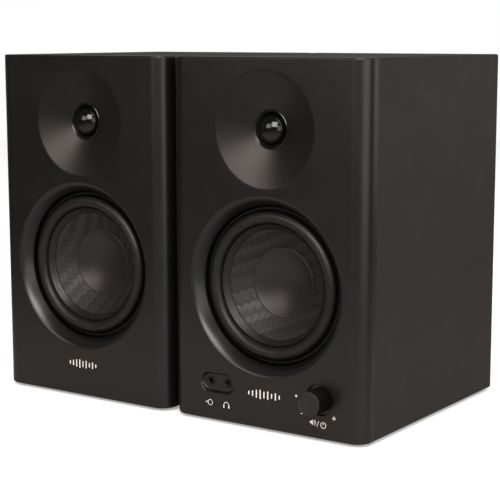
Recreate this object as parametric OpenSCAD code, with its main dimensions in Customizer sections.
// A pair of powered two-way bookshelf monitors. The right speaker holds the amplifier,
// and the left one is driven from it. Units are millimetres.
// X runs across the pair, -Y is the front, Z is up. The origin is on the table,
// under the middle of the whole pair.
// Each speaker is drawn in its own frame: x from its middle, y inwards from the
// baffle's face, z up from the table.

/* [Cabinet] */
// Width of one speaker
body_w = 140; // [136:1:150]
// Height of one speaker, feet included
body_h = 228; // [224:1:240]
// Depth of one speaker, from the baffle's face to the back board
body_d = 174; // [170:1:200]
// Thickness of the cabinet's walls
wall = 9; // [8:0.5:10]
// Space between the two speakers
gap = 6; // [4:1:60]

/* [Baffle] */
// Thickness of the baffle
baffle_t = 14; // [14:0.5:15]
// Radius of its left and right front edges
edge_r = 10; // [8:0.5:10]
// Height of the tweeter's axis above the table
tweeter_z = 185; // [184:1:186]
// Height of the woofer's axis above the table
woofer_z = 89.7; // [88:0.1:90]
// Radius of the tweeter's bowl at the face
bowl_r = 36; // [34:0.5:37]
// Depth of the bowl at the dome
bowl_depth = 7; // [6.5:0.25:7.5]
// Radius of the woofer's recess at the face
recess_r = 56; // [55:0.5:57.5]

/* [Drivers] */
// Radius of the round opening in front of the woofer
opening_r = 48; // [47.5:0.25:48.5]
// Radius of the dust cap
cap_r = 22; // [20:0.5:24]
// How deep the dust cap is dished
cap_h = 6; // [5:0.5:6]
// Radius of the tweeter's dome
dome_r = 9.4; // [9:0.1:9.5]
// How far the dome bulges
dome_h = 7; // [6:0.25:7.5]

/* [Controls] */
// Radius of the volume knob
knob_r = 7.6; // [7:0.1:8.5]
// How far the volume knob stands out of the baffle
knob_reach = 12.5; // [10:0.5:16]
// How far the rear knobs and jacks stand out of the back board
rear_reach = 9.5; // [9.5:0.5:12]
// Bore radius of the 3.5 mm jacks
small_jack_r = 1.8; // [1.8:0.05:1.85]
// Bore radius of the 6.35 mm jacks
large_jack_r = 3.25; // [3.25:0.05:3.3]
// Outer radius of the line-in pin jacks
pin_jack_r = 4.15; // [4.1:0.05:4.2]

/* [Hidden] */
$fn = 96;

right = 1;
left = -1;
pitch = body_w + gap;
front_y = knob_reach - (knob_reach + body_d + rear_reach) / 2;
foot_h = 2;
floor_z = foot_h + wall;
inside_back = body_d - wall;
glue = 0.1;

// Baffle
seam = 0.7;
face_bevel = 1;
rebate_y = 10;
recess_depth = 7;
nose_r = 12;

// Woofer, depths from the baffle's face
cone_edge_r = 38.6;
cone_edge_y = 10.3;
cone_slope = 0.67;
coil_in_r = 12.7;
coil_out_r = 12.95;
roll_mid_r = 42;
roll_out_r = 3.8;
roll_t = 0.8;
spider_y = 31;
basket_floor_y = 38.5;
top_plate_t = 5;
magnet_t = 14;
yoke_t = 5;
ear_r = 60;
flange_t = 2.5;

// Tweeter
dome_y = bowl_depth + 2.3;
tweeter_flange_r = 27;
tweeter_screw_r = 23;

// Front controls
jack_x = [-41.7, -28.8];
jack_z = 26.2;
bush_r = 3;
dish_depth = 2.5;
knob_x = 39.7;
knob_z = 26;
well_r = 9.7;
well_depth = 2.2;
light_x = 23.1;
light_z = 26;
shaft_r = 3;
press_travel = 0.6;
knob_back = well_depth - press_travel - 0.4;
control_y = 26;

// Boards
board_t = 1.6;
post_h = 4;
parts_z = floor_z + post_h + board_t;
amp_y = 148;

// Rear controls
plate_w = 112;
plate_z0 = 13;
plate_z1 = 163;
plate_t = 1.5;
plate_y = body_d + plate_t;
plate_rim = 7;
port_z = 191;
port_r = 15;
balanced_x = [-36, -10];
pin_x = [22, 41];
sockets_z = 138;
treble_x = -30;
bass_x = 2;
trim_z = 102;
trim_r = 5.5;
output_x = -24;
output_z = 56;
inlet_x = 28;
inlet_z = 46;
input_z = 70;
cup_flange_t = 2;
clip_pitch = 17;
clip_w = 11;
clip_half_w = 17;
clip_half_h = 12;
clip_stand = 3;
hinge_in = 3;
hinge_up = 8;
pin_r = 1.2;
output_face = plate_y + clip_stand;
input_face = body_d + cup_flange_t + clip_stand;
running = 0.05;

// Points of an arc, from angle a0 to a1
function arc(x, y, r, a0, a1, n = 12) =
  [for (i = [0:n]) let (a = a0 + (a1 - a0) * i / n) [x + r * cos(a), y + r * sin(a)]];

// Depth of the cone's front surface at radius r
function cone_y(r) = cone_edge_y + (cone_edge_r - r) * cone_slope;

// Puts a speaker's own frame in place
module on(side) translate([side * pitch / 2, front_y, 0]) children();

// Turns a profile of (radius, depth) about a level axis at (x, z)
module turned(x, z) translate([x, 0, z]) rotate([-90, 0, 0]) rotate_extrude() children();

// A round bar along the depth, from y0 to y1
module bar(x, z, r, y0, y1) translate([x, y0, z]) rotate([-90, 0, 0]) cylinder(r = r, h = y1 - y0);

// A block between two corners
module block(a, b) translate(a) cube(b - a);

// A square case along the depth, of half width half, round (x, z)
module case(x, z, half, y0, y1) block([x - half, y0, z - half], [x + half, y1, z + half]);

// A tube of bore r_in along the depth
module pipe(x, z, r_in, r_out, y0, y1) difference() {
  bar(x, z, r_out, y0, y1);
  bar(x, z, r_in, y0 - 1, y1 + 1);
}

// Flat ring with four ears, the outline of the woofer's flange, grown by extra
module flange_outline(extra = 0) {
  circle(r = 54 + extra);
  for (a = [45, 135]) rotate(a) square([2 * ear_r, 11 + 2 * extra], center = true);
  for (a = [45:90:315]) rotate(a) translate([ear_r, 0]) circle(r = 5.5 + extra);
}

// ---- Cabinet and baffle ----

// A wall board of that cross-section, as deep as the box
module wall_board(section)
  translate([0, body_d, 0]) rotate([90, 0, 0]) linear_extrude(body_d - baffle_t) polygon(section);

// The four walls, mitred where they meet
module cabinet_walls() {
  out_x = body_w / 2;
  in_x = out_x - wall;
  for (z = [[foot_h, floor_z], [body_h, body_h - wall]])
    wall_board([[-out_x, z[0]], [out_x, z[0]], [in_x, z[1]], [-in_x, z[1]]]);
  for (s = [-1, 1])
    wall_board([
      [s * out_x, foot_h + glue], [s * in_x, floor_z + glue],
      [s * in_x, body_h - wall - glue], [s * out_x, body_h - glue]
    ]);
}

// The back board between the walls, with the hole for the port
module back_board() difference() {
  half = body_w / 2 - wall - glue;
  block([-half, inside_back, floor_z + glue], [half, body_d, body_h - wall - glue]);
  bar(0, port_z, port_r + 2.5, inside_back - 1, body_d + 1);
}

module right_cabinet() color([0.2, 0.19, 0.18]) on(right) {
  half = plate_w / 2 - plate_rim;
  cabinet_walls();
  difference() {
    back_board();
    block([-half, inside_back - 1, plate_z0 + plate_rim], [half, body_d + 1, plate_z1 - plate_rim]);
    for (p = plate_screw_places) bar(p[0], p[1], 1.2, body_d - 7, body_d + 1);
  }
}

module left_cabinet() color([0.2, 0.19, 0.18]) on(left) {
  half_w = 25;
  half_h = 20;
  cabinet_walls();
  difference() {
    back_board();
    block([-half_w, inside_back - 1, input_z - half_h], [half_w, body_d + 1, input_z + half_h]);
    for (p = cup_screw_places) bar(p[0], p[1], 1.2, body_d - 7, body_d + 1);
  }
}

// The baffle's outline seen from above
module baffle_plan() {
  w = body_w / 2;
  polygon(concat(
    arc(-w + edge_r, edge_r, edge_r, 180, 270, 16),
    arc(w - edge_r, edge_r, edge_r, 270, 360, 16),
    [[w, baffle_t - seam], [w - seam, baffle_t], [-w + seam, baffle_t], [-w, baffle_t - seam]]
  ));
}

// The baffle's outline seen from the side
module baffle_side() {
  b = face_bevel;
  polygon([
    [0, foot_h + b], [b, foot_h], [baffle_t - seam, foot_h], [baffle_t, foot_h + seam],
    [baffle_t, body_h - seam], [baffle_t - seam, body_h], [b, body_h], [0, body_h - b]
  ]);
}

// The tweeter's bowl: a shallow cone with a soft rim
module bowl_cut() turned(0, tweeter_z) {
  rim = 5;
  hole_r = nose_r + 0.2;
  run = [bowl_r - hole_r, bowl_depth - rim];
  fall = atan2(run[1], run[0]) + asin(rim / norm(run));
  polygon(concat(
    [[0, -1], [bowl_r, -1]],
    arc(bowl_r, rim, rim, 270, 270 - fall, 8),
    [[hole_r, bowl_depth], [hole_r, baffle_t + 1], [0, baffle_t + 1]]
  ));
}

// The woofer's recess: a soft outer edge, a hollow slope, and a flat lip round the opening
module recess_cut() turned(0, woofer_z) {
  lip_r = opening_r + 1.5;
  steps = 14;
  polygon(concat(
    [[0, -1], [recess_r, -1]],
    [for (i = [0:steps])
      [recess_r + (lip_r - recess_r) * i / steps, recess_depth * (1 - cos(180 * i / steps)) / 2]],
    [[opening_r + 0.4, recess_depth], [opening_r, recess_depth + 0.4], [opening_r, baffle_t + 1],
     [0, baffle_t + 1]]
  ));
}

module baffle() difference() {
  intersection() {
    translate([0, 0, foot_h]) linear_extrude(body_h - foot_h) baffle_plan();
    translate([-body_w / 2, 0, 0]) rotate([90, 0, 90]) linear_extrude(body_w) baffle_side();
  }
  bowl_cut();
  recess_cut();
  translate([0, rebate_y, woofer_z]) rotate([-90, 0, 0]) linear_extrude(baffle_t) flange_outline(0.4);
  for (p = woofer_screw_places) bar(p[0], p[1], 1.2, rebate_y - 6, rebate_y + 1);
  for (p = tweeter_screw_places) bar(p[0], p[1], 1.2, baffle_t - 5.5, baffle_t + 1);
}

// The dished place round the two front jacks
module jack_dish() {
  top_r = 6.5;
  low_r = 5;
  mid = jack_z - 0.4;
  for (x = jack_x) translate([x, 0, mid]) rotate([-90, 0, 0]) cylinder(r1 = top_r, r2 = low_r, h = dish_depth);
  translate([jack_x[0], 0, mid]) rotate([90, 0, 90]) linear_extrude(jack_x[1] - jack_x[0])
    polygon([[0, -top_r], [dish_depth, -low_r], [dish_depth, low_r], [0, top_r]]);
  for (x = jack_x) bar(x, mid, top_r, -1, 0);
  block([jack_x[0], -1, mid - top_r], [jack_x[1], 0, mid + top_r]);
}

module right_baffle() color([0.17, 0.16, 0.15]) on(right) difference() {
  baffle();
  jack_dish();
  for (x = jack_x) bar(x, jack_z, bush_r + 0.1, 0, baffle_t + 1);
  bar(knob_x, knob_z, shaft_r + 1, -1, baffle_t + 1);
  bar(knob_x, knob_z, well_r, -1, well_depth);
  bar(light_x, light_z, 1.05, -1, baffle_t + 1);
}

module left_baffle() color([0.17, 0.16, 0.15]) on(left) baffle();

// Flared tube of the bass port, its flange flat on the back board
module port_tube() {
  length = 84;
  flare = 7;
  wall_t = 2;
  flange_r = port_r + flare + 2;
  y1 = body_d + wall_t;
  turned(0, port_z) polygon(concat(
    [[port_r, y1 - length], [port_r, y1 - flare]],
    arc(port_r + flare, y1 - flare, flare, 180, 90, 10),
    [[flange_r, y1], [flange_r, body_d], [port_r + wall_t, body_d], [port_r + wall_t, y1 - length]]
  ));
}

module right_port_tube() color([0.07, 0.07, 0.07]) on(right) port_tube();
module left_port_tube() color([0.07, 0.07, 0.07]) on(left) port_tube();

module feet() {
  foot_r = 6;
  for (x = [-55, 55], y = [26, 158]) translate([x, y, 0]) cylinder(r = foot_r, h = foot_h);
}

module right_feet() color([0.08, 0.08, 0.08]) on(right) feet();
module left_feet() color([0.08, 0.08, 0.08]) on(left) feet();

// ---- Fasteners ----

woofer_screw_places = [for (a = [45:90:315]) [ear_r * cos(a), woofer_z + ear_r * sin(a)]];
tweeter_screw_places =
  [for (a = [90:120:330]) [tweeter_screw_r * cos(a), tweeter_z + tweeter_screw_r * sin(a)]];
plate_screw_places = concat(
  [for (x = [-52.5, 52.5], z = [17, 63, 113, 159]) [x, z]],
  [for (z = [16.5, 159.5]) [0, z]]
);
cup_screw_places = [for (x = [-29, 29], z = [input_z - 19, input_z + 19]) [x, z]];

// A screw driven in from behind, whose head lies on the plane y
module screw(p, y, reach) {
  translate([p[0], y, p[1]]) rotate([-90, 0, 0]) difference() {
    union() {
      cylinder(r1 = 3, r2 = 2.3, h = 1.8);
      translate([0, 0, -reach]) cylinder(r = 1.15, h = reach + 0.5);
    }
    for (a = [0, 90]) rotate(a) translate([-1.6, -0.35, 0.9]) cube([3.2, 0.7, 2]);
  }
}

module driver_screws() {
  for (p = woofer_screw_places) screw(p, rebate_y + flange_t, flange_t + 5);
  for (p = tweeter_screw_places) screw(p, baffle_t + 2, 2 + 4.5);
}

module right_driver_screws() color([0.2, 0.2, 0.21]) on(right) driver_screws();

module left_driver_screws() color([0.2, 0.2, 0.21]) on(left) {
  driver_screws();
  for (p = cup_screw_places) screw(p, body_d + cup_flange_t, cup_flange_t + 5);
}

module amp_plate_screws() color([0.12, 0.12, 0.12]) on(right)
  for (p = plate_screw_places) screw(p, plate_y, plate_t + 5);

// ---- Woofer ----

// Cup-shaped frame with six windows, a flange in front and a ledge for the spider
module woofer_basket() difference() {
  union() {
    turned(0, woofer_z) polygon([
      [44.3, rebate_y], [53, rebate_y], [53, rebate_y + flange_t], [47.5, rebate_y + flange_t],
      [37.5, spider_y + 1.5], [37.5, basket_floor_y], [16, basket_floor_y], [16, basket_floor_y - 1.6],
      [31, basket_floor_y - 1.6], [31, spider_y], [35.5, spider_y], [44.3, rebate_y + flange_t]
    ]);
    translate([0, rebate_y, woofer_z]) rotate([-90, 0, 0]) linear_extrude(flange_t) difference() {
      flange_outline();
      circle(r = 46);
    }
  }
  for (p = woofer_screw_places) bar(p[0], p[1], 1.4, rebate_y - 1, rebate_y + flange_t + 1);
  for (a = [0:60:300]) translate([0, 0, woofer_z]) rotate([0, a, 0])
    block([32, rebate_y + flange_t + 2, -11], [56, spider_y - 1.5, 11]);
}

// Half roll of rubber with an inner lip on the cone and an outer lip on the basket
module woofer_surround() turned(0, woofer_z) {
  roll_y = rebate_y - 0.6;
  out_in = roll_mid_r - roll_out_r;
  difference() {
    translate([roll_mid_r, roll_y]) circle(r = roll_out_r);
    translate([roll_mid_r, roll_y]) circle(r = roll_out_r - roll_t);
    translate([roll_mid_r - 5, roll_y]) square([10, 5]);
  }
  translate([roll_mid_r + roll_out_r - roll_t, roll_y - 0.3]) square([2.5, 0.9]);
  polygon([
    [34.2, cone_y(34.2)], [34.2, cone_y(34.2) - 0.5], [out_in - 0.1, roll_y - 0.6],
    [out_in + roll_t, roll_y - 0.3], [out_in + roll_t, roll_y + 0.2], [cone_edge_r, cone_edge_y]
  ]);
}

module woofer_cone() turned(0, woofer_z) {
  t = 0.8;
  polygon([
    [coil_out_r, cone_y(coil_out_r)], [cone_edge_r, cone_edge_y],
    [cone_edge_r, cone_edge_y + t], [coil_out_r, cone_y(coil_out_r) + t]
  ]);
}

// Shallow dish with its rim glued to the cone
module woofer_dust_cap() turned(0, woofer_z) {
  t = 0.6;
  rim_y = cone_y(cap_r) - t;
  round_r = (cap_r * cap_r + cap_h * cap_h) / (2 * cap_h);
  mid_y = rim_y + cap_h - round_r;
  back_r = round_r + t;
  polygon(concat(
    arc(0, mid_y, round_r, 90, 90 - asin(cap_r / round_r), 18),
    [[cap_r, cone_y(cap_r)], [cap_r - 1, cone_y(cap_r - 1)]],
    arc(0, mid_y, back_r, 90 - asin((cap_r - 2) / back_r), 90, 16)
  ));
}

// Thin tube with the winding near its inner end
module woofer_voice_coil() turned(0, woofer_z) polygon([
  [coil_in_r, 27.3], [coil_out_r, 27.3], [coil_out_r, 36.5], [13.4, 36.5], [13.4, 46.5], [coil_out_r, 46.5],
  [coil_out_r, 48], [coil_in_r, 48]
]);

// Corrugated disc that centres the coil
module woofer_spider() turned(0, woofer_z) {
  r0 = coil_out_r;
  r1 = 34.5;
  t = 0.5;
  flat_r = r1 - 3.3;
  steps = 60;
  wave = function (r) r > flat_r ? 0 : -0.9 * (1 - cos((flat_r - r) / (flat_r - r0) * 360 * 5)) / 2;
  radii = [for (i = [0:steps]) r0 + (flat_r - r0) * i / steps];
  polygon(concat(
    [for (r = radii) [r, spider_y + wave(r) - t]], [[r1, spider_y - t], [r1, spider_y]],
    [for (i = [steps:-1:0]) [radii[i], spider_y + wave(radii[i])]]
  ));
}

module woofer_top_plate() pipe(0, woofer_z, 14, 35, basket_floor_y, basket_floor_y + top_plate_t);

module woofer_magnet()
  pipe(0, woofer_z, 17, 39, basket_floor_y + top_plate_t, basket_floor_y + top_plate_t + magnet_t);

module woofer_yoke() {
  y0 = basket_floor_y + top_plate_t + magnet_t;
  turned(0, woofer_z) polygon([
    [0, basket_floor_y - 0.5], [11.2, basket_floor_y - 0.5], [12.2, basket_floor_y + 0.5], [12.2, y0],
    [36, y0], [36, y0 + yoke_t - 1.5], [34.5, y0 + yoke_t], [0, y0 + yoke_t]
  ]);
}

module right_woofer_basket() color([0.1, 0.1, 0.1]) on(right) woofer_basket();
module right_woofer_surround() color([0.13, 0.12, 0.12]) on(right) woofer_surround();
module right_woofer_cone() color([0.15, 0.14, 0.13]) on(right) woofer_cone();
module right_woofer_dust_cap() color([0.18, 0.17, 0.16]) on(right) woofer_dust_cap();
module right_woofer_voice_coil() color([0.72, 0.42, 0.2]) on(right) woofer_voice_coil();
module right_woofer_spider() color([0.76, 0.66, 0.4]) on(right) woofer_spider();
module right_woofer_top_plate() color([0.6, 0.6, 0.62]) on(right) woofer_top_plate();
module right_woofer_magnet() color([0.22, 0.22, 0.23]) on(right) woofer_magnet();
module right_woofer_yoke() color([0.6, 0.6, 0.62]) on(right) woofer_yoke();
module left_woofer_basket() color([0.1, 0.1, 0.1]) on(left) woofer_basket();
module left_woofer_surround() color([0.13, 0.12, 0.12]) on(left) woofer_surround();
module left_woofer_cone() color([0.15, 0.14, 0.13]) on(left) woofer_cone();
module left_woofer_dust_cap() color([0.18, 0.17, 0.16]) on(left) woofer_dust_cap();
module left_woofer_voice_coil() color([0.72, 0.42, 0.2]) on(left) woofer_voice_coil();
module left_woofer_spider() color([0.76, 0.66, 0.4]) on(left) woofer_spider();
module left_woofer_top_plate() color([0.6, 0.6, 0.62]) on(left) woofer_top_plate();
module left_woofer_magnet() color([0.22, 0.22, 0.23]) on(left) woofer_magnet();
module left_woofer_yoke() color([0.6, 0.6, 0.62]) on(left) woofer_yoke();

// ---- Tweeter ----

// Ring that shows round the dome, flange on the baffle's back, and the cup for the motor
module tweeter_housing() difference() {
  ring_r = 9.9;
  turned(0, tweeter_z) polygon([
    [ring_r, dome_y + 0.2], [10.3, bowl_depth + 1.5], [10.6, bowl_depth + 1.1], [10.9, bowl_depth + 1.3],
    [11.2, bowl_depth + 0.3], [11.6, bowl_depth - 0.1], [nose_r, bowl_depth + 0.2], [nose_r, baffle_t],
    [tweeter_flange_r, baffle_t], [tweeter_flange_r, baffle_t + 2], [18.5, baffle_t + 2], [18.5, baffle_t + 8], [16.6, baffle_t + 8],
    [16.6, baffle_t + 1.5], [ring_r, baffle_t + 1.5]
  ]);
  for (p = tweeter_screw_places) bar(p[0], p[1], 1.4, baffle_t - 1, baffle_t + 4);
}

// Soft dome and the thin tube of its coil
module tweeter_dome() turned(0, tweeter_z) {
  t = 0.35;
  round_r = (dome_r * dome_r + dome_h * dome_h) / (2 * dome_h);
  half = asin(dome_r / round_r);
  mid_y = dome_y - dome_h + round_r;
  polygon(concat(
    arc(0, mid_y, round_r, 270, 270 + half, 16),
    [[dome_r, dome_y], [dome_r, 19], [dome_r - 0.4, 19], [dome_r - 0.4, dome_y]],
    arc(0, mid_y, round_r - t, 270 + half - 4, 270, 14)
  ));
}

// Steel pot with its magnet, and the ring-shaped gap for the coil
module tweeter_motor() turned(0, tweeter_z) polygon([
  [0, baffle_t + 1.5], [dome_r - 0.9, baffle_t + 1.5], [dome_r - 0.9, 23], [dome_r + 0.8, 23],
  [dome_r + 0.8, baffle_t + 1.5],
  [16.4, baffle_t + 1.5], [16.4, 33], [15.4, 34], [0, 34]
]);

module right_tweeter_housing() color([0.1, 0.1, 0.1]) on(right) tweeter_housing();
module right_tweeter_dome() color([0.05, 0.05, 0.06]) on(right) tweeter_dome();
module right_tweeter_motor() color([0.55, 0.55, 0.57]) on(right) tweeter_motor();
module left_tweeter_housing() color([0.1, 0.1, 0.1]) on(left) tweeter_housing();
module left_tweeter_dome() color([0.05, 0.05, 0.06]) on(left) tweeter_dome();
module left_tweeter_motor() color([0.55, 0.55, 0.57]) on(left) tweeter_motor();

// ---- Front controls of the right speaker ----

module control_board() color([0.08, 0.28, 0.16]) on(right) difference() {
  block([-52, control_y, 13], [52, control_y + board_t, 35.5]);
  for (x = [-48, 0, 48]) bar(x, 16.5, 1.6, control_y - 1, control_y + board_t + 1);
}

// Two jacks: a round bush in the baffle and a square case on the board
module front_jacks() color([0.14, 0.14, 0.15]) on(right) for (x = jack_x) difference() {
  union() {
    bar(x, jack_z, bush_r, dish_depth - 0.3, baffle_t + 0.5);
    block([x - 6, baffle_t + 0.5, jack_z - 7], [x + 6, control_y, jack_z + 5]);
  }
  bar(x, jack_z, small_jack_r, 0, control_y - 1.5);
  translate([x, dish_depth - 0.3, jack_z]) rotate([-90, 0, 0]) cylinder(r1 = 2.4, r2 = small_jack_r, h = 0.6);
}

module encoder_body() color([0.5, 0.5, 0.52]) on(right) difference() {
  case_y = 19;
  union() {
    case(knob_x, knob_z, 6, case_y, control_y);
    bar(knob_x, knob_z, shaft_r + 0.6, baffle_t + 0.5, case_y);
  }
  bar(knob_x, knob_z, shaft_r + running, baffle_t, control_y - 1);
}

// Round pusher between the shaft's end and the switch at the back of the encoder
module encoder_plunger() color([0.9, 0.9, 0.88]) on(right)
  bar(knob_x, knob_z, 2, control_y - 3.5, control_y - 1 - press_travel - 0.1);

module encoder_shaft() color([0.7, 0.7, 0.72]) on(right)
  bar(knob_x, knob_z, shaft_r, -knob_reach + 3, control_y - 3.5);

// Knob with a softened rim, a pointer dimple and a bore on the shaft
module volume_knob() color([0.16, 0.15, 0.15]) on(right) difference() {
  rim = 0.8;
  hub_r = 4.6;
  turned(knob_x, knob_z) polygon(concat(
    [[0, -knob_reach + 0.3], [knob_r - rim - 0.4, -knob_reach + 0.3]],
    arc(knob_r - rim, -knob_reach + rim, rim, 270, 360, 6),
    [[knob_r, knob_back - 0.3], [knob_r - 0.3, knob_back], [knob_r - 1.4, knob_back],
     [knob_r - 1.4, -knob_reach + 4], [hub_r, -knob_reach + 4], [hub_r, -1], [0, -1]]
  ));
  bar(knob_x, knob_z, shaft_r, -knob_reach + 3, 0);
  translate([knob_x - 4.1, -knob_reach + 0.3, knob_z + 3.5]) sphere(r = 0.7);
}

module light_pipe() color([0.9, 0.92, 0.95]) on(right) {
  bar(light_x, light_z, 1, 0.1, baffle_t);
  bar(light_x, light_z, 2, baffle_t, control_y);
}

// ---- Rear panel of the right speaker ----

module amp_plate() color([0.11, 0.11, 0.11]) on(right) difference() {
  block([-plate_w / 2, body_d, plate_z0], [plate_w / 2, plate_y, plate_z1]);
  for (p = plate_screw_places) bar(p[0], p[1], 1.4, body_d - 1, plate_y + 1);
  for (x = balanced_x) bar(x, sockets_z, 5.6, body_d - 1, plate_y + 1);
  for (x = pin_x) bar(x, sockets_z, 5, body_d - 1, plate_y + 1);
  for (x = [treble_x, bass_x]) bar(x, trim_z, 3.3, body_d - 1, plate_y + 1);
  block([output_x - clip_half_w - 0.5, body_d - 1, output_z - clip_half_h - 0.5],
    [output_x + clip_half_w + 0.5, plate_y + 1, output_z + clip_half_h + 0.5]);
  block([inlet_x - 11.3, body_d - 1, inlet_z - 7.3], [inlet_x + 11.3, plate_y + 1, inlet_z + 7.3]);
}

// Upright board behind the rear sockets, with its heat sink and a row of capacitors
module amp_board() color([0.08, 0.28, 0.16]) on(right) {
  half = 48;
  z0 = 76;
  z1 = 158;
  hole_in = 4;
  y0 = amp_y - board_t;
  parts_y = amp_y - 22;
  difference() {
    block([-half, y0, z0], [half, amp_y, z1]);
    for (x = [-half + hole_in, half - hole_in], z = [z0 + hole_in, z1 - hole_in])
      bar(x, z, 1.6, y0 - 1, amp_y + 1);
  }
  block([-30, parts_y, z0 + 10], [30, y0, z0 + 34]);
  for (x = [-32, -10, 12, 34]) bar(x, 132, 8, parts_y, y0);
}

// A board that lies over the cabinet's floor, on four posts
module floor_board(half, y0, y1) {
  post_in = 4;
  block([-half, y0, floor_z + post_h], [half, y1, parts_z]);
  for (x = [-half + post_in, half - post_in], y = [y0 + post_in, y1 - post_in])
    translate([x, y, floor_z]) cylinder(r = 3, h = post_h);
}

// Power supply: transformer, storage capacitor, heat sink and mains filter
module power_supply_board() color([0.1, 0.3, 0.18]) on(right) {
  floor_board(50, 84, 152);
  block([-14, 96, parts_z], [16, 124, parts_z + 26.4]);
  translate([-34, 104, parts_z]) cylinder(r = 10, h = 28);
  block([26, 92, parts_z], [30, 140, parts_z + 28.4]);
  block([-44, 130, parts_z], [-20, 146, parts_z + 14.4]);
}

// Figure-eight socket with its two pins
module mains_inlet() color([0.06, 0.06, 0.06]) on(right) {
  pin_at = 4.3;
  lobe_r = 4.2;
  waist = 3.2;
  depth = 12;
  difference() {
    union() {
      block([inlet_x - 14, plate_y, inlet_z - 10], [inlet_x + 14, plate_y + 1.5, inlet_z + 10]);
      block([inlet_x - 11, body_d - 18, inlet_z - 7], [inlet_x + 11, plate_y, inlet_z + 7]);
    }
    for (s = [-1, 1]) bar(inlet_x + s * pin_at, inlet_z, lobe_r, body_d - depth, plate_y + 3);
    block([inlet_x - pin_at, body_d - depth, inlet_z - waist],
      [inlet_x + pin_at, plate_y + 3, inlet_z + waist]);
  }
  for (s = [-1, 1]) bar(inlet_x + s * pin_at, inlet_z, 1.2, body_d - depth - 1, body_d - 2);
}

// Two pin jacks: an outer sleeve that stands out, and a bore for the plug's pin
module line_jacks() color([0.75, 0.75, 0.77]) on(right) for (x = pin_x) difference() {
  case_y = amp_y + 14;
  union() {
    bar(x, sockets_z, pin_jack_r, body_d, body_d + rear_reach);
    bar(x, sockets_z, 6.5, plate_y, plate_y + 1);
    bar(x, sockets_z, 4.8, case_y - 2, plate_y);
    case(x, sockets_z, 6, amp_y, case_y);
  }
  bar(x, sockets_z, 1.6, body_d - 6, body_d + rear_reach + 1);
}

// Two 6.35 mm jacks with a round nut outside
module balanced_jacks() color([0.1, 0.1, 0.1]) on(right) for (x = balanced_x) difference() {
  union() {
    case(x, sockets_z, 8, amp_y, body_d - 1);
    bar(x, sockets_z, 5.4, body_d - 1, plate_y + 2.5);
    bar(x, sockets_z, 7.5, plate_y, plate_y + 2);
  }
  bar(x, sockets_z, large_jack_r, amp_y + 2, plate_y + 4);
}

module trim_pots() color([0.45, 0.45, 0.47]) on(right) for (x = [treble_x, bass_x]) difference() {
  case_y = amp_y + 12;
  union() {
    case(x, trim_z, 6, amp_y, case_y);
    bar(x, trim_z, 4.5, case_y, body_d - 1);
  }
  bar(x, trim_z, shaft_r + running, amp_y + 2, body_d);
}

// Small knob and the shaft moulded with it, with a pointer groove on its face
module trim_knob(x) difference() {
  y0 = plate_y + 0.8;
  y1 = body_d + rear_reach;
  union() {
    bar(x, trim_z, shaft_r, amp_y + 2.5, y1 - 4);
    turned(x, trim_z) polygon([[0, y0], [trim_r, y0], [trim_r - 0.2, y1 - 0.6], [trim_r - 0.8, y1], [0, y1]]);
  }
  translate([x - 0.4, y1 - 0.6, trim_z + 1]) cube([0.8, 2, 6]);
}

module treble_knob() color([0.14, 0.14, 0.14]) on(right) trim_knob(treble_x);
module bass_knob() color([0.14, 0.14, 0.14]) on(right) trim_knob(bass_x);

// ---- Spring-clip terminals ----

// Housing of two spring clips round (x, z). Its face stands at y1
module clip_block(x, z, y1) difference() {
  pocket_w = clip_w / 2 + 0.3;
  pin_w = 8;
  block([x - clip_half_w, y1 - 20, z - clip_half_h], [x + clip_half_w, y1, z + clip_half_h]);
  for (s = [-1, 1]) translate([x + s * clip_pitch / 2, 0, z]) {
    block([-pocket_w, y1 - 13, -7], [pocket_w, y1 + 1, hinge_up + 2.6]);
    bar(0, -9.4, 1.5, y1 - 12, y1 + 1);
    translate([-pin_w, y1 - hinge_in, hinge_up]) rotate([0, 90, 0])
      cylinder(r = pin_r + running, h = 2 * pin_w);
  }
}

// A lever that swings inwards about the pin at its top
module clip_lever(x, z, y1) translate([x, 0, z]) {
  half = clip_w / 2;
  pin_w = 7.6;
  low = -6;
  translate([-pin_w, y1 - hinge_in, hinge_up]) rotate([0, 90, 0]) cylinder(r = pin_r, h = 2 * pin_w);
  block([-half, y1 - hinge_in - pin_r, hinge_up - pin_r], [half, y1 - hinge_in + pin_r, hinge_up + pin_r]);
  block([-half, y1 - hinge_in, low], [half, y1 - 0.4, hinge_up]);
  block([-half, y1 - 0.4, low], [half, y1 + 1.4, low + 3]);
}

// The block of clips in a frame that stands round it on the rear plate
module output_terminal() color([0.07, 0.07, 0.07]) on(right) {
  frame_w = 3;
  clip_block(output_x, output_z, output_face);
  difference() {
    block([output_x - clip_half_w - frame_w, plate_y, output_z - clip_half_h - frame_w],
      [output_x + clip_half_w + frame_w, output_face - 1.6, output_z + clip_half_h + frame_w]);
    block([output_x - clip_half_w, body_d, output_z - clip_half_h],
      [output_x + clip_half_w, output_face, output_z + clip_half_h]);
  }
}

module output_lever_red() color([0.7, 0.08, 0.06]) on(right)
  clip_lever(output_x + clip_pitch / 2, output_z, output_face);
module output_lever_black() color([0.05, 0.05, 0.05]) on(right)
  clip_lever(output_x - clip_pitch / 2, output_z, output_face);

// The same block of clips in a cup let into the left speaker's back board
module terminal_cup() color([0.07, 0.07, 0.07]) on(left) {
  difference() {
    union() {
      block([-34, body_d, input_z - 24], [34, body_d + cup_flange_t, input_z + 24]);
      block([-24, body_d - 12, input_z - 19], [24, body_d, input_z + 19]);
    }
    for (p = cup_screw_places) bar(p[0], p[1], 1.4, body_d - 1, body_d + 4);
    block([-clip_half_w, body_d - 18, input_z - clip_half_h], [clip_half_w, body_d + 4, input_z + clip_half_h]);
  }
  clip_block(0, input_z, input_face);
}

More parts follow.
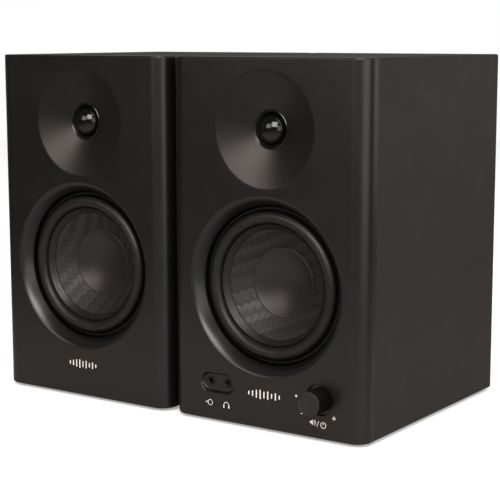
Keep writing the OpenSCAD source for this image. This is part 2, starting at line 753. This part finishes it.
module input_lever_red() color([0.7, 0.08, 0.06]) on(left) clip_lever(clip_pitch / 2, input_z, input_face);
module input_lever_black() color([0.05, 0.05, 0.05]) on(left) clip_lever(-clip_pitch / 2, input_z, input_face);

// Crossover: an upright ring coil and two capacitors
module crossover_board() color([0.1, 0.3, 0.18]) on(left) {
  cap_r = 6;
  floor_board(40, 90, 146);
  translate([-18, 116, parts_z]) difference() {
    cylinder(r = 14, h = 14);
    translate([0, 0, -1]) cylinder(r = 7, h = 16);
  }
  for (x = [8, 24]) translate([x, 104, parts_z + cap_r]) rotate([-90, 0, 0]) cylinder(r = cap_r, h = 26);
}

// ---- Inner wiring ----

wire_r = 0.9;
wire_sides = 8;
wire_steps = 7;

// A point of a Catmull-Rom curve through a, b, c, d, between b and c
function curve(a, b, c, d, t) =
  0.5 * (2 * b + (c - a) * t + (2 * a - 5 * b + 4 * c - d) * t * t + (3 * b - a - 3 * c + d) * t * t * t);

function route(p) = concat(
  [for (i = [0:len(p) - 2], k = [0:wire_steps - 1])
    curve(p[max(i - 1, 0)], p[i], p[i + 1], p[min(i + 2, len(p) - 1)], k / wire_steps)],
  [p[len(p) - 1]]
);

function unit(v) = v / norm(v);

// A round wire along the points p
module wire(p) {
  q = route(p);
  n = len(q);
  heading = [for (i = [0:n - 1]) unit(q[min(i + 1, n - 1)] - q[max(i - 1, 0)])];
  across = [for (h = heading) unit(cross(h, abs(h[0]) > 0.9 ? [0, 0, 1] : [1, 0, 0]))];
  polyhedron(
    [for (i = [0:n - 1], k = [0:wire_sides - 1]) let (a = 360 * k / wire_sides)
      q[i] + wire_r * (across[i] * cos(a) + cross(heading[i], across[i]) * sin(a))],
    concat(
      [[for (k = [0:wire_sides - 1]) k]],
      [for (i = [0:n - 2], k = [0:wire_sides - 1]) let (m = (k + 1) % wire_sides)
        [i * wire_sides + k, (i + 1) * wire_sides + k, (i + 1) * wire_sides + m, i * wire_sides + m]],
      [[for (k = [wire_sides - 1:-1:0]) (n - 1) * wire_sides + k]]
    ), convexity = 4);
}

// Two wires side by side, dx apart
module pair(p, dx = 2.4) for (s = [-1, 1]) wire([for (q = p) q + [s * dx / 2, 0, 0]]);

// Leads to the woofer and to the tweeter. start is the first stretch of the woofer's pair,
// and the tweeter's pair starts dx to one side of it
module driver_leads(start, dx) {
  pair(concat(start, [[30, 96, 58], [44, 70, 66], [46, 44, 74], [41, 40, 84]]));
  pair(concat([for (p = start) p + [dx, 0, 0]],
    [[48, 100, 90], [48, 80, 140], [30, 54, 168], [10, 40, 182], [6, 34.9, 185]]));
}

module right_wiring() color([0.7, 0.1, 0.08]) on(right) {
  driver_leads([[24, 145, 80], [25, 132, 76]], 9);
  pair([[-24, 145, 80], [-40, 100, 56], [-46, 60, 36], [-30, 36, 28], [-20, 28.7, 26]]);
}

module left_wiring() color([0.7, 0.1, 0.08]) on(left) {
  driver_leads([[33, 138, 18], [33, 132, 34]], -8);
  pair([[-8, 158, 66], [-12, 150, 60], [-16, 146, 40], [-14, 142, 24], [-12, 141, 18]]);
}

right_cabinet();
right_baffle();
right_port_tube();
right_feet();
right_driver_screws();
right_wiring();
right_woofer_basket();
right_woofer_surround();
right_woofer_cone();
right_woofer_dust_cap();
right_woofer_voice_coil();
right_woofer_spider();
right_woofer_top_plate();
right_woofer_magnet();
right_woofer_yoke();
right_tweeter_housing();
right_tweeter_dome();
right_tweeter_motor();
left_cabinet();
left_baffle();
left_port_tube();
left_feet();
left_driver_screws();
left_wiring();
left_woofer_basket();
left_woofer_surround();
left_woofer_cone();
left_woofer_dust_cap();
left_woofer_voice_coil();
left_woofer_spider();
left_woofer_top_plate();
left_woofer_magnet();
left_woofer_yoke();
left_tweeter_housing();
left_tweeter_dome();
left_tweeter_motor();
amp_plate();
amp_plate_screws();
amp_board();
power_supply_board();
mains_inlet();
line_jacks();
balanced_jacks();
trim_pots();
treble_knob();
bass_knob();
output_terminal();
output_lever_red();
output_lever_black();
control_board();
front_jacks();
encoder_body();
encoder_plunger();
encoder_shaft();
volume_knob();
light_pipe();
terminal_cup();
input_lever_red();
input_lever_black();
crossover_board();
